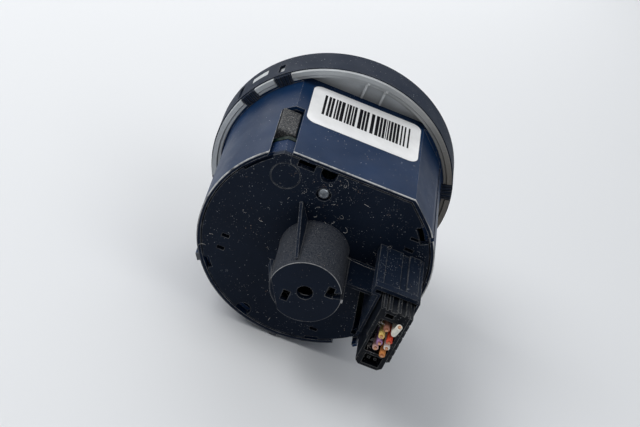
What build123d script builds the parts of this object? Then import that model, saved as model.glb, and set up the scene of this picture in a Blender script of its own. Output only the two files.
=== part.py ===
"""Rotary headlight switch for a dashboard, in millimetres and degrees.

The switch axis is Y. The dial and knob face -Y, the rear cover and connector face +Y.
The origin is on the axis, in the plane where the rim seats on the dashboard.
+Z is the normal of the flat that carries the label. Places on sections across the axis
are (u, v) as seen from behind: u to the right, which is -X, and v up, which is +Z.
"""
from build123d import *
import os
from math import cos, radians, sin, sqrt

os.makedirs("parts", exist_ok=True)

# Clearances: seats of fixed pieces, turning journals, and free gaps beside moving pieces
fit_clearance = 0.15
running_clearance = 0.05
moving_gap = 0.3

# Housing: a round pot with a label flat, a flatter facet and a front flange
housing_radius = 36.0
housing_wall = 1.2
housing_rear = 40.4
label_flat_drop = 6.4
facet_angle = 46.5
facet_half_angle = 9.9
housing_front = -4.5
flange_width = 0.7
flange_thickness = 1.4
flange_sink = 0.8
bulkhead_front = 12.6
bulkhead_thickness = 2.0
hub_wall = 2.4
hub_front = 10.6
hub_rear = 26.0
ledge_front = 3.0
ledge_thickness = 1.4
ledge_width = 2.2
pillar_radius = 1.8
pillar_inset = 5.4
pillar_angles = (20.0, 160.0, 240.0, 320.0)
wall_gap_start = -60.0
wall_gap_end = -49.0
wall_gap_depth = 6.0
wall_tab_end = -46.5
wall_tab_height = 3.2
wall_ribs = ((-152.5, -147.5), (-92.6, -88.4))
wall_rib_rise = 1.2
wall_rib_front = 24.0
groove_angle = 32.0
groove_width = 1.5
groove_depth = 1.0

# Rim: light carrier with its lip, the dark bezel in front of it and the dial disc
inner_band_width = 0.85
inner_band_sink = 0.5
lip_groove_width = 0.3
lip_groove_depth = 0.8
lip_width = 1.5
lip_overhang = 0.6
lip_thickness = 1.2
dish_floor_thickness = 1.6
dish_front = -9.4
dish_wall = 1.0
dish_rib_places = (-1.6, 4.6)
dish_rib_width = 0.7
dish_rib_height = 0.8
bezel_wall = 0.85
bezel_front = -12.0
bezel_lip_width = 2.4
bezel_edge = 0.5
hook_angles = (134.0, 153.5, 17.6, -28.0, -62.0, -118.0, -152.0)
hook_span = 8.0
hook_depth = 3.0
hook_nose_reach = 0.5
hook_nose_thickness = 0.7
hook_teeth = 4
tooth_width = 0.5
tooth_depth = 0.4
snap_window = 1
snap_sink = 0.1
bezel_windows = ((133.4, 136.4, -7.6, -3.0), (142.5, 152.0, -8.8, -5.6), (157.8, 161.0, -9.6, -2.6))
dial_thickness = 1.4
dial_collar_wall = 1.2
dial_collar_height = 1.0
symbol_inset = 7.0
symbol_angles = (165.0, 195.0, 225.0, 255.0, 285.0)
symbol_window_radius = 1.5
pipe_radius = 2.3
pipe_ring_width = 2.6
pipe_ring_thickness = 1.0
post_radius = 1.6
post_inset = 6.5
post_angles = (25.0, 140.0, 325.0)

# Lamp board
board_thickness = 1.6
board_hole_radius = 12.0
lamp_side = 3.0
lamp_height = 1.3
link_inset = 10.5
link_heights = (-9.0, -12.0, -15.0)
link_radius = 0.5

# Shaft, rotor and contact carrier
shaft_across = 8.0
shaft_corner = 1.2
shaft_front = -21.5
shaft_square_rear = 36.0
shaft_rear = 54.0
tail_radius = 3.6
tail_groove_radius = 2.7
tail_groove_front = 48.8
tail_groove_rear = 51.4
slider_wall = 1.8
journal_radius = 11.0
rotor_flange_radius = 16.5
rotor_flange_thickness = 2.8
rotor_spigot_radius = 7.6
detent_step = 30.0
detent_sink = 0.8
carrier_radius = 16.8
carrier_thickness = 2.4
bridge_angles = (90.0, 210.0, 330.0)
bridge_radius = 14.6
bridge_width = 2.4
bridge_length = 7.0
bridge_sheet = 0.4

# Knob
knob_radius = 20.4
knob_rim_rear = -12.4
knob_face = -24.0
knob_wall = 1.8
knob_edge = 1.2
knob_hub_radius = 7.4
grip_width = 11.0
grip_rise = 7.0
grip_draft = 8.0
knob_ring_radius = 21.0
knob_ring_length = 2.6
knob_ring_seat = 0.6
pointer_width = 1.6
pointer_length = 9.0
pointer_height = 1.0
knob_pull = 8.0
knob_push = 3.0

# Detent: a leaf spring between two posts of the housing, its round nose in a notch of the rotor
detent_angle = -60.0
nose_radius = 1.5
leaf_half_length = 9.0
leaf_width = 2.4
leaf_sheet = 0.4
leaf_grip = 1.4
post_wall = 1.2

# Contact board with its tracks and blades
contact_board_front = 31.0
contact_board_thickness = 1.6
contact_board_hole = 6.4
track_thickness = 0.3
track_width = 3.4
track_arcs = ((20.0, 100.0), (112.0, 192.0), (204.0, 345.0))
blade_width = 1.2
blade_thickness = 0.6
blade_engagement = 9.0
fog_contact_inset = 1.4
fog_contact_width = 1.8
fog_contact_sheet = 0.4

# Rear cover with its boss, gusset, web and connector shroud
cover_thickness = 2.0
cover_gap = 0.4
cover_skirt_wall = 1.2
boss_radius = 10.6
boss_wall = 1.6
boss_length = 21.0
boss_end_wall = 1.8
boss_hole_radius = 2.4
boss_windows = ((-4.8, -3.4), (6.6, 3.3))
boss_window_width = 2.2
boss_window_height = 3.8
boss_slot_start = 12.0
boss_slot_end = 24.0
boss_strip_start = 6.0
boss_strip_end = 12.0
boss_strip_rise = 0.5
boss_step_angle = 209.0
boss_step_place = 9.0
boss_step_depth = 1.4
barb_reach = 1.5
barb_base = 12.4
barb_width = 2.4
barb_angle = 183.5
gusset_angle = 123.5
gusset_reach = 17.5
gusset_tip = 0.8
gusset_thickness = 0.9
web_height = 12.4
web_top = 2.1
web_thickness = 1.0
edge_hole = (-5.5, 26.3, 2.4)
half_round_notch = (-12.3, -31.0, 2.4)
cover_slots = (
    (-26.2, -6.9, 2.4, 1.3),
    (-26.2, -11.8, 2.4, 1.3),
    (10.5, -28.6, 2.5, 1.1),
    (25.6, 16.7, 2.6, 1.0),
    (25.5, 12.4, 2.8, 1.2),
)
top_notch = (-12.5, 25.6, 5.2)
edge_notches = ((210.0, 217.0, 1.5), (-74.5, -67.3, 0.7), (29.5, 40.0, 2.6), (130.8, 147.8, 0.9))
mark_place = (-17.0, 21.0)
mark_radius = 4.5
mark_width = 0.3
mark_depth = 0.12

# Rivet with a domed head in the cover
rivet_place = (-4.6, 19.7)
rivet_head_radius = 2.1
rivet_head_sink = 0.3
rivet_head_edge = 0.7
rivet_shank_radius = 1.3
rivet_shank_length = 9.0
rivet_post_wall = 1.6

# Connector shroud, a keyed box open on its lower left
shroud_left = 17.3
shroud_right = 31.4
shroud_top = 10.7
shroud_bottom = -13.9
shroud_length = 20.4
shroud_wall = 0.8
collar_length = 2.4
collar_rise = 0.5
shroud_side_left = 19.2
shroud_side_bottom = -6.5
shroud_floor_left = 22.0
key_depth = 2.8
top_groove_left = 24.6
top_groove_right = 26.8
top_groove_sink = 0.55
right_step = 1.1
right_step_sink = 0.3
top_ridge_right = 19.6
top_ridge_rise = 0.3
connector_window = ((18.1, -8.1), (20.4, -8.1), (23.2, -22.2), (23.2, -24.8), (21.6, -24.8), (21.6, -22.6))

# Harness plug with its lock strip, sockets and cut wires
plug_left = 20.5
plug_right = 29.3
plug_top = 8.9
plug_bottom = -13.0
plug_length = 26.4
plug_waist = -1.8
plug_taper = 0.5
plug_corner = 1.2
chamber = (21.8, 28.4, -7.2, 5.4)
chamber_depth = 5.0
lower_pocket = (22.8, 28.0, -12.0, -8.2)
lower_pocket_depth = 4.0
pocket_posts = ((24.4, -10.3), (26.4, -10.3))
pocket_post_side = 0.9
pocket_post_sink = 1.2
upper_cavity = (22.6, 25.0, 6.4, 7.9)
upper_cavity_depth = 3.0
plug_rib_places = (21.5, 23.1, 25.9, 28.3)
plug_rib_width = 0.9
plug_rib_height = 0.6
cavity_columns = (24.6, 27.2)
cavity_rows = (2.6, 0.0, -2.6, -5.2)
cavity_side = 2.1
socket_wall = 0.25
socket_length = 10.0
drain_place = (22.6, 3.1)
drain_radius = 0.6
lock_strip_width = 1.0
lock_strip_bottom = -8.6
lock_strip_length = 22.0
lock_teeth = 6
lock_tooth_depth = 0.5
lock_tooth_width = 0.6
wire_radius = 0.9
core_radius = 0.45
core_show = 0.5
wire_tips = {
    "wire_brown": (24.8, 2.7, 5.4, 0.1),
    "wire_ivory": (27.1, 6.9, 7.8, 5.6),
    "wire_yellow": (24.3, 0.2, 5.9, 0.1),
    "wire_red": (27.0, -0.6, 6.2, 0.1),
    "wire_violet": (24.8, -2.6, 5.5, 0.1),
    "wire_white": (27.3, -3.2, 5.8, 0.1),
    "wire_pink": (24.5, -5.0, 5.2, 0.1),
    "wire_orange": (27.0, -5.8, 6.4, 0.1),
}

# Lock tongue in its guide beside the label flat
slot_inset = 18.4
slot_width = 6.4
slot_front = 15.6
tongue_inset = 8.0
tongue_height = 7.6
tongue_rear = 28.8
tongue_foot_length = 1.8
tongue_foot_height = 1.8
tongue_foot_width = 3.2
tongue_travel = 2.2
tongue_edge = 0.4
guide_wall = 1.2

# Springs
spring_wire = 0.6
return_spring_radius = 6.6
return_spring_turns = 4.0
lock_spring_radius = 1.6
lock_spring_turns = 4.0
lock_pocket_depth = 4.4

# Label
label_left = -16.8
label_right = 19.4
label_front = -1.4
label_rear = 21.0
label_corner = 3.0
label_thickness = 0.12

far = 4 * housing_radius
facet_distance = housing_radius * cos(radians(facet_half_angle))
label_flat_height = housing_radius - label_flat_drop
housing_bore = housing_radius - housing_wall
flange_radius = housing_radius + flange_width
flange_rear = -flange_sink
flange_front = flange_rear - flange_thickness
pillar_place_radius = housing_radius - pillar_inset
symbol_radius = housing_radius - symbol_inset
post_place_radius = housing_radius - post_inset
link_places = [(link_inset - housing_radius, height) for height in link_heights]
carrier_bore = flange_radius + fit_clearance
groove_inner = carrier_bore + inner_band_width
lip_inner = groove_inner + lip_groove_width
rim_radius = lip_inner + lip_width
dish_radius = rim_radius - lip_overhang
bezel_bore = dish_radius + fit_clearance
bezel_radius = bezel_bore + bezel_wall
bezel_lip_inner = bezel_bore - bezel_lip_width
hook_inner = flange_radius - hook_nose_reach
slot_right = slot_inset - housing_radius
slot_left = slot_right - slot_width
tongue_top = housing_radius - tongue_inset
tongue_bottom = tongue_top - tongue_height
bulkhead_rear = bulkhead_front + bulkhead_thickness
cover_front = housing_rear - cover_thickness
cover_inset = housing_wall + cover_gap
cover_radius = housing_radius - cover_inset
contact_board_rear = contact_board_front + contact_board_thickness
mouth = housing_rear + shroud_length
boss_rear = housing_rear + boss_length
boss_bore = boss_radius - boss_wall
fog_contact_place = boss_bore - fog_contact_inset
plug_rear = housing_rear + plug_length
dish_floor_front = housing_front - dish_floor_thickness
dial_front = dish_front - dial_thickness
dial_hole_radius = knob_ring_radius + moving_gap
board_front = ledge_front - board_thickness
lamp_front = board_front - lamp_height
hub_bore = journal_radius + running_clearance
rotor_front = hub_front - moving_gap - rotor_flange_thickness
journal_front = rotor_front + rotor_flange_thickness
shaft_bore = shaft_across + 2 * running_clearance
shaft_corner_reach = (shaft_across / 2 - shaft_corner) * sqrt(2) + shaft_corner
carrier_front = hub_rear + moving_gap
carrier_rear = carrier_front + carrier_thickness
nose_place = rotor_flange_radius + nose_radius - detent_sink
slider_front = tail_groove_front - slider_wall
slider_rear = tail_groove_rear + slider_wall
slider_radius = boss_bore - moving_gap
detent_level = rotor_front + rotor_flange_thickness / 2
tongue_front = slot_front + moving_gap
tongue_left = slot_left + moving_gap
tongue_right = slot_right - moving_gap
guide_rear = tongue_rear + moving_gap
guide_floor = tongue_bottom - tongue_travel - moving_gap
tongue_middle = ((slot_left + slot_right) / 2, (tongue_front + tongue_rear) / 2)
cavity_rear = plug_rear - chamber_depth
socket_front = housing_rear + fit_clearance
blade_tip = socket_front + blade_engagement


def across(y):
    """Plane across the switch axis at y, seen from behind: u runs to the right."""
    return Plane(origin=(0, y, 0), x_dir=(-1, 0, 0), z_dir=(0, 1, 0))


def along(angle):
    """Plane through the axis at an angle of the rear view: radius, then y."""
    out = (-cos(radians(angle)), 0, sin(radians(angle)))
    side = (-sin(radians(angle)), 0, -cos(radians(angle)))
    return Plane(origin=(0, 0, 0), x_dir=out, z_dir=side)


def beside(y, angle):
    """Plane across the switch axis at y, turned so that its x runs outwards at the angle."""
    return Plane(origin=(0, y, 0), x_dir=along(angle).x_dir, z_dir=(0, 1, 0))


def polar(radius, angle):
    return (radius * cos(radians(angle)), radius * sin(radians(angle)))


def ring_sector(inner, outer, start, end, mode=Mode.ADD):
    """Piece of a ring between two angles, in the sketch that is open."""
    with BuildLine() as border:
        CenterArc((0, 0), outer, start, end - start)
        CenterArc((0, 0), inner, start, end - start)
        Line(polar(inner, start), polar(outer, start))
        Line(polar(inner, end), polar(outer, end))
    make_face(border.edges(), mode=mode)


def pot_outline(shrink, mode=Mode.ADD):
    """Round outline with the label flat and the facet, drawn in by shrink."""
    with BuildSketch(mode=Mode.PRIVATE) as outline:
        Circle(housing_radius - shrink)
        with Locations((0, label_flat_height - shrink + far / 2)):
            Rectangle(far, far, mode=Mode.SUBTRACT)
        with Locations(polar(facet_distance - shrink + far / 2, facet_angle)):
            Rectangle(far, far, rotation=facet_angle, mode=Mode.SUBTRACT)
    add(outline.sketch_local, mode=mode)


def pot(shrink, y_span, mode=Mode.ADD):
    """Pot outline with a length along the axis, in the part that is open."""
    with BuildSketch(across(y_span[0])) as face:
        pot_outline(shrink)
    extrude(face.sketch, amount=y_span[1] - y_span[0], mode=mode)


def block(u_span, v_span, y_span, mode=Mode.ADD):
    """Straight block given by its sides in the rear view and along the axis."""
    with BuildSketch(across(y_span[0])) as face:
        with Locations(((u_span[0] + u_span[1]) / 2, (v_span[0] + v_span[1]) / 2)):
            Rectangle(u_span[1] - u_span[0], v_span[1] - v_span[0])
    extrude(face.sketch, amount=y_span[1] - y_span[0], mode=mode)


def disc(radius, y_span, center=(0, 0), mode=Mode.ADD):
    """Round block on the axis, or on a line beside it."""
    with BuildSketch(across(y_span[0])) as face:
        with Locations(center):
            Circle(radius)
    extrude(face.sketch, amount=y_span[1] - y_span[0], mode=mode)


def sector(inner, outer, angles, y_span, mode=Mode.ADD):
    """Piece of a ring with a length along the axis."""
    with BuildSketch(across(y_span[0])) as face:
        ring_sector(inner, outer, angles[0], angles[1])
    extrude(face.sketch, amount=y_span[1] - y_span[0], mode=mode)


def spring_coil(center, direction, radius, length, turns):
    """Round-wire spring between two seats, in the part that is open."""
    height = length - spring_wire
    start = Vector(center) + Vector(direction) * (spring_wire / 2)
    with BuildLine() as path:
        Helix(height / turns, height, radius, center=start, direction=direction)
    with BuildSketch(Plane(origin=path.line @ 0, z_dir=path.line % 0)) as section:
        RegularPolygon(spring_wire / 2, 4)
    sweep(section.sketch, path=path.line, is_frenet=True)


# Housing
with BuildPart() as housing:
    pot(0, (housing_front, housing_rear))
    with BuildSketch(across(flange_front)):
        Circle(flange_radius)
        with Locations((0, label_flat_height + far / 2)):
            Rectangle(far, far, mode=Mode.SUBTRACT)
    extrude(amount=flange_thickness)
    for start, end in wall_ribs:
        with BuildSketch(across(wall_rib_front)):
            ring_sector(housing_bore, housing_radius + wall_rib_rise, start, end)
        extrude(amount=housing_rear - wall_rib_front, taper=1)
    pot(housing_wall, (housing_front, housing_rear), Mode.SUBTRACT)
    pot(housing_wall / 2, (bulkhead_front, bulkhead_rear))
    with BuildSketch(across(ledge_front)):
        pot_outline(housing_wall / 2)
        pot_outline(housing_wall + ledge_width, mode=Mode.SUBTRACT)
    extrude(amount=ledge_thickness)
    disc(hub_bore + hub_wall, (hub_front, hub_rear))
    disc(hub_bore, (hub_front, hub_rear), mode=Mode.SUBTRACT)
    for angle in pillar_angles:
        disc(pillar_radius, (bulkhead_rear, contact_board_front), polar(pillar_place_radius, angle))
    for place in link_places:
        disc(link_radius + fit_clearance, (bulkhead_front, bulkhead_rear), place, Mode.SUBTRACT)
    # Post that takes the rivet of the cover
    disc(rivet_shank_radius + rivet_post_wall, (bulkhead_rear, contact_board_front), rivet_place)
    rivet_end = contact_board_rear - rivet_shank_length
    rivet_bore = rivet_shank_radius + running_clearance
    disc(rivet_bore, (rivet_end, contact_board_front), rivet_place, Mode.SUBTRACT)
    # Guide box of the lock tongue: two cheeks, a floor, a front wall and a rear wall
    left_side, right_side = slot_left - guide_wall, slot_right + guide_wall
    box_end = guide_rear + guide_wall
    cheek_top = sqrt(housing_bore**2 - left_side**2) + housing_wall / 2
    block((left_side, slot_left), (guide_floor - guide_wall, cheek_top), (bulkhead_rear, box_end))
    inner_top = label_flat_height - housing_wall / 2
    block((slot_right, right_side), (guide_floor - guide_wall, inner_top), (bulkhead_rear, box_end))
    block((left_side, right_side), (guide_floor - guide_wall, guide_floor), (bulkhead_rear, box_end))
    block((left_side, right_side), (guide_floor, cheek_top), (bulkhead_rear, slot_front))
    block((left_side, right_side), (guide_floor, cheek_top), (guide_rear, box_end))
    foot_side = tongue_foot_width / 2 + moving_gap
    foot_span = (tongue_middle[0] - foot_side, tongue_middle[0] + foot_side)
    foot_top = tongue_bottom + tongue_foot_height + moving_gap
    block(foot_span, (guide_floor, foot_top), (guide_rear, box_end), Mode.SUBTRACT)
    block((slot_left, slot_right), (guide_floor + moving_gap, far), (slot_front, guide_rear), Mode.SUBTRACT)
    block((slot_left, slot_right), (cheek_top, far), (slot_front, housing_rear), Mode.SUBTRACT)
    # Gap in the wall beside the connector, with the short tab at its far end
    gap = (wall_gap_start, wall_gap_end)
    sector(housing_bore - 1, far, gap, (housing_rear - wall_gap_depth, housing_rear), Mode.SUBTRACT)
    tab = (wall_gap_end, wall_tab_end)
    sector(housing_bore + fit_clearance, housing_radius, tab, (cover_front, housing_rear + wall_tab_height))
    # Groove along the facet's edge
    with BuildSketch(along(groove_angle)):
        with Locations((housing_radius, (flange_rear + housing_rear) / 2)):
            Rectangle(2 * groove_depth, housing_rear - flange_rear)
    extrude(amount=groove_width / 2, both=True, mode=Mode.SUBTRACT)
    # Two posts that hold the ends of the detent's leaf spring
    post_start = leaf_half_length - leaf_grip
    post_end = leaf_half_length + post_wall
    leaf_front = detent_level - leaf_width / 2
    leaf_rear = detent_level + leaf_width / 2
    for side in (-1, 1):
        with BuildSketch(beside(leaf_front, detent_angle)):
            with Locations((nose_place + leaf_sheet / 2, side * (post_start + post_end) / 2)):
                Rectangle(leaf_sheet + 2 * post_wall, post_end - post_start)
        extrude(amount=bulkhead_front - leaf_front)
        with BuildSketch(beside(leaf_front, detent_angle)):
            with Locations((nose_place + leaf_sheet / 2, side * (leaf_half_length - far / 2))):
                Rectangle(leaf_sheet + 2 * running_clearance, far + 2 * running_clearance)
            with Locations((nose_place, side * (post_start - far / 2))):
                Rectangle(far, far, mode=Mode.SUBTRACT)
        extrude(amount=leaf_width + running_clearance, mode=Mode.SUBTRACT)
housing.part.label = "housing"
export_step(housing.part, "parts/housing.step")

# Light carrier: floor, wall and lip behind the dial, with posts down to the lamp board
with BuildPart() as light_carrier:
    with BuildSketch(along(0)):
        with BuildLine():
            Polyline(
                (shaft_corner_reach + moving_gap, housing_front),
                (carrier_bore, housing_front),
                (carrier_bore, -inner_band_sink),
                (groove_inner, -inner_band_sink),
                (groove_inner, -inner_band_sink - lip_groove_depth),
                (lip_inner, -inner_band_sink - lip_groove_depth),
                (lip_inner, 0),
                (rim_radius, 0),
                (rim_radius, -lip_thickness),
                (dish_radius, -lip_thickness),
                (dish_radius, dish_front),
                (dish_radius - dish_wall, dish_front),
                (dish_radius - dish_wall, dish_floor_front),
                (shaft_corner_reach + moving_gap, dish_floor_front),
                close=True,
            )
        make_face()
    revolve(axis=Axis.Y)
    for angle in hook_angles:
        half = hook_span / 2 + 0.5
        notch = (angle - half, angle + half)
        nose_front = -hook_nose_thickness - fit_clearance
        sector(hook_inner, far, notch, (nose_front, 0), Mode.SUBTRACT)
        sector(lip_inner - fit_clearance, far, notch, (-hook_depth - fit_clearance, 0), Mode.SUBTRACT)
    # Snap nose that fills the long window of the bezel
    start, end, front, rear = bezel_windows[snap_window]
    snap_angles = (start + 2 * fit_clearance, end - 2 * fit_clearance)
    sector(dish_radius - dish_wall, bezel_radius - snap_sink, snap_angles, (front + fit_clearance, rear - fit_clearance))
    for angle in symbol_angles:
        disc(pipe_radius + fit_clearance, (dish_floor_front, housing_front), polar(symbol_radius, angle), Mode.SUBTRACT)
    for angle in post_angles:
        disc(post_radius, (housing_front, board_front), polar(post_place_radius, angle))
    for place in dish_rib_places:
        rib = (label_flat_height + moving_gap, carrier_bore + fit_clearance)
        block((place - dish_rib_width / 2, place + dish_rib_width / 2), rib, (housing_front, housing_front + dish_rib_height))
light_carrier.part.label = "light_carrier"
export_step(light_carrier.part, "parts/light_carrier.step")

# Bezel ring with its ribbed hooks and the core windows in its skirt
with BuildPart() as bezel_ring:
    with BuildSketch(along(0)):
        with BuildLine():
            Polyline(
                (bezel_bore, -lip_thickness),
                (bezel_radius, -lip_thickness),
                (bezel_radius, bezel_front + bezel_edge),
                (bezel_radius - bezel_edge, bezel_front),
                (bezel_lip_inner, bezel_front),
                (bezel_lip_inner, dial_front),
                (bezel_bore, dial_front),
                close=True,
            )
        make_face()
    revolve(axis=Axis.Y)
    for angle in hook_angles:
        hook = (angle - hook_span / 2, angle + hook_span / 2)
        sector(hook_inner, rim_radius, hook, (-hook_nose_thickness, 0))
        sector(lip_inner, rim_radius, hook, (-hook_depth, 0))
        for tooth in range(hook_teeth):
            turn = angle + hook_span * ((tooth + 0.5) / hook_teeth - 0.5)
            with BuildSketch(along(turn)):
                with Locations(((hook_inner + rim_radius) / 2, 0)):
                    Rectangle(rim_radius, 2 * tooth_depth)
            extrude(amount=tooth_width / 2, both=True, mode=Mode.SUBTRACT)
    for start, end, front, rear in bezel_windows:
        sector(lip_inner, far, (start, end), (front, rear), Mode.SUBTRACT)
bezel_ring.part.label = "bezel_ring"
export_step(bezel_ring.part, "parts/bezel_ring.step")

# Dial disc with a collar round the knob and a small window for each symbol
with BuildPart() as dial_face:
    disc(dish_radius, (dial_front, dish_front))
    disc(dial_hole_radius + dial_collar_wall, (dial_front - dial_collar_height, dial_front))
    disc(dial_hole_radius, (dial_front - dial_collar_height, dish_front), mode=Mode.SUBTRACT)
    for angle in symbol_angles:
        disc(symbol_window_radius, (dial_front, dish_front), polar(symbol_radius, angle), Mode.SUBTRACT)
dial_face.part.label = "dial_face"
export_step(dial_face.part, "parts/dial_face.step")

# Clear light ring with a pipe from each lamp to its symbol
with BuildPart() as light_pipes:
    ring_span = (dish_floor_front - pipe_ring_thickness, dish_floor_front)
    disc(symbol_radius + pipe_ring_width, ring_span)
    disc(symbol_radius - pipe_ring_width, ring_span, mode=Mode.SUBTRACT)
    for angle in symbol_angles:
        place = polar(symbol_radius, angle)
        disc(pipe_radius, (dish_front, lamp_front - fit_clearance), place)
        disc(symbol_window_radius - fit_clearance / 2, (dial_front, dish_front), place)
light_pipes.part.label = "light_pipes"
export_step(light_pipes.part, "parts/light_pipes.step")

# Lamp board, resting on the ledge of the housing
with BuildPart() as lamp_board:
    pot(housing_wall + fit_clearance, (board_front, ledge_front))
    disc(board_hole_radius, (board_front, ledge_front), mode=Mode.SUBTRACT)
lamp_board.part.label = "lamp_board"
export_step(lamp_board.part, "parts/lamp_board.step")

with BuildPart() as lamps:
    for angle in symbol_angles:
        u, v = polar(symbol_radius, angle)
        half = lamp_side / 2
        block((u - half, u + half), (v - half, v + half), (lamp_front, board_front))
lamps.part.label = "lamps"
export_step(lamps.part, "parts/lamps.step")

# Pins that join the lamp board to the contact board
with BuildPart() as board_links:
    for place in link_places:
        disc(link_radius, (ledge_front, contact_board_front), place)
board_links.part.label = "board_links"
export_step(board_links.part, "parts/board_links.step")

# Rotor: square bore, journal in the hub and a flange with detent notches round its edge
with BuildPart() as detent_rotor:
    disc(rotor_flange_radius, (rotor_front, journal_front))
    disc(journal_radius, (journal_front, carrier_front))
    disc(rotor_spigot_radius, (carrier_front, carrier_rear))
    for step in range(int(360 / detent_step)):
        notch = polar(nose_place, detent_angle + step * detent_step)
        disc(nose_radius + running_clearance, (rotor_front, journal_front), notch, Mode.SUBTRACT)
    with BuildSketch(across(rotor_front)):
        RectangleRounded(shaft_bore, shaft_bore, shaft_corner)
    extrude(amount=carrier_rear - rotor_front, mode=Mode.SUBTRACT)
detent_rotor.part.label = "detent_rotor"
export_step(detent_rotor.part, "parts/detent_rotor.step")

# Contact carrier on the rotor's spigot, with three sprung bridges
with BuildPart() as contact_carrier:
    disc(carrier_radius, (carrier_front, carrier_rear))
    disc(rotor_spigot_radius + running_clearance, (carrier_front, carrier_rear), mode=Mode.SUBTRACT)
contact_carrier.part.label = "contact_carrier"
export_step(contact_carrier.part, "parts/contact_carrier.step")

with BuildPart() as contact_bridges:
    crest = contact_board_front - track_thickness - running_clearance
    for angle in bridge_angles:
        turn = 90 * bridge_length / 3.1416 / bridge_radius
        inner, outer = bridge_radius - bridge_width / 2, bridge_radius + bridge_width / 2
        sector(inner, outer, (angle - turn, angle + turn), (carrier_rear, carrier_rear + bridge_sheet))
        sector(inner, outer, (angle - turn / 3, angle + turn / 3), (carrier_rear, crest))
contact_bridges.part.label = "contact_bridges"
export_step(contact_bridges.part, "parts/contact_bridges.step")

# Shaft: square from the knob through the rotor, round at the tail with a groove
with BuildPart() as shaft:
    with BuildSketch(across(shaft_front)):
        RectangleRounded(shaft_across, shaft_across, shaft_corner)
    extrude(amount=shaft_square_rear - shaft_front)
    disc(tail_radius, (shaft_square_rear, shaft_rear))
    with BuildSketch(across(tail_groove_front)):
        Circle(tail_radius)
        Circle(tail_groove_radius, mode=Mode.SUBTRACT)
    extrude(amount=tail_groove_rear - tail_groove_front, mode=Mode.SUBTRACT)
    chamfer(shaft.edges().group_by(Axis.Y)[-1], length=tail_radius / 4)
shaft.part.label = "shaft"
export_step(shaft.part, "parts/shaft.step")

# Knob: hollow cap with a grip bar across its face and a hub on the shaft
with BuildPart() as knob_cap:
    disc(knob_radius, (knob_face, knob_rim_rear))
    chamfer(knob_cap.edges().group_by(Axis.Y)[0], length=knob_edge)
    disc(knob_radius - knob_wall, (knob_face + knob_wall, knob_rim_rear), mode=Mode.SUBTRACT)
    disc(knob_hub_radius, (knob_face, knob_rim_rear))
    with BuildSketch(across(knob_face + knob_wall)):
        grip_length = 2 * (knob_radius - knob_edge)
        SlotOverall(grip_length, grip_width, rotation=90)
    extrude(amount=-grip_rise - knob_wall, taper=grip_draft)
    chamfer(knob_cap.edges().group_by(Axis.Y)[0], length=knob_edge / 2)
    with BuildSketch(across(shaft_front)):
        RectangleRounded(shaft_bore, shaft_bore, shaft_corner)
    extrude(amount=knob_rim_rear - shaft_front, mode=Mode.SUBTRACT)
    ring_seat = knob_rim_rear - knob_ring_length
    with BuildSketch(across(ring_seat)):
        Circle(knob_radius)
        Circle(knob_ring_radius - knob_ring_seat - fit_clearance, mode=Mode.SUBTRACT)
    extrude(amount=knob_ring_length, mode=Mode.SUBTRACT)
    pointer_middle = knob_radius - knob_edge - pointer_length / 2 - 1.5 * pointer_width
    with BuildSketch(across(knob_face - grip_rise)):
        with Locations((0, pointer_middle)):
            SlotOverall(pointer_length, pointer_width, rotation=90)
    extrude(amount=pointer_height, mode=Mode.SUBTRACT)
knob_cap.part.label = "knob_cap"
export_step(knob_cap.part, "parts/knob_cap.step")

with BuildPart() as knob_ring:
    with BuildSketch(across(ring_seat)):
        Circle(knob_ring_radius)
        Circle(knob_ring_radius - knob_ring_seat, mode=Mode.SUBTRACT)
    extrude(amount=knob_ring_length)
knob_ring.part.label = "knob_ring"
export_step(knob_ring.part, "parts/knob_ring.step")

with BuildPart() as knob_pointer:
    with BuildSketch(across(knob_face - grip_rise)):
        with Locations((0, pointer_middle)):
            SlotOverall(pointer_length, pointer_width, rotation=90)
    extrude(amount=pointer_height)
knob_pointer.part.label = "knob_pointer"
export_step(knob_pointer.part, "parts/knob_pointer.step")

# Leaf spring of the detent: a strip with a half-round nose in its middle
with BuildPart() as detent_spring:
    with BuildSketch(beside(leaf_front, detent_angle)):
        with Locations((nose_place, 0)):
            Circle(nose_radius)
            Circle(nose_radius - leaf_sheet, mode=Mode.SUBTRACT)
        with Locations((nose_place + far / 2, 0)):
            Rectangle(far, far, mode=Mode.SUBTRACT)
        for side in (-1, 1):
            strip_middle = side * (leaf_half_length + nose_radius - leaf_sheet) / 2
            with Locations((nose_place + leaf_sheet / 2, strip_middle)):
                Rectangle(leaf_sheet, leaf_half_length - nose_radius + leaf_sheet)
    extrude(amount=leaf_width)
detent_spring.part.label = "detent_spring"
export_step(detent_spring.part, "parts/detent_spring.step")

# Contact board on the pillars of the housing
with BuildPart() as contact_board:
    pot(housing_wall + fit_clearance, (contact_board_front, contact_board_rear))
    disc(contact_board_hole, (contact_board_front, contact_board_rear), mode=Mode.SUBTRACT)
    disc(rivet_shank_radius + fit_clearance, (contact_board_front, contact_board_rear), rivet_place, Mode.SUBTRACT)
contact_board.part.label = "contact_board"
export_step(contact_board.part, "parts/contact_board.step")

with BuildPart() as contact_tracks:
    for arc in track_arcs:
        inner, outer = bridge_radius - track_width / 2, bridge_radius + track_width / 2
        sector(inner, outer, arc, (contact_board_front - track_thickness, contact_board_front))
contact_tracks.part.label = "contact_tracks"
export_step(contact_tracks.part, "parts/contact_tracks.step")

with BuildPart() as connector_blades:
    for u in cavity_columns:
        for v in cavity_rows:
            u_span = (u - blade_thickness / 2, u + blade_thickness / 2)
            v_span = (v - blade_width / 2, v + blade_width / 2)
            block(u_span, v_span, (contact_board_rear, blade_tip))
connector_blades.part.label = "connector_blades"
export_step(connector_blades.part, "parts/connector_blades.step")

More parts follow.
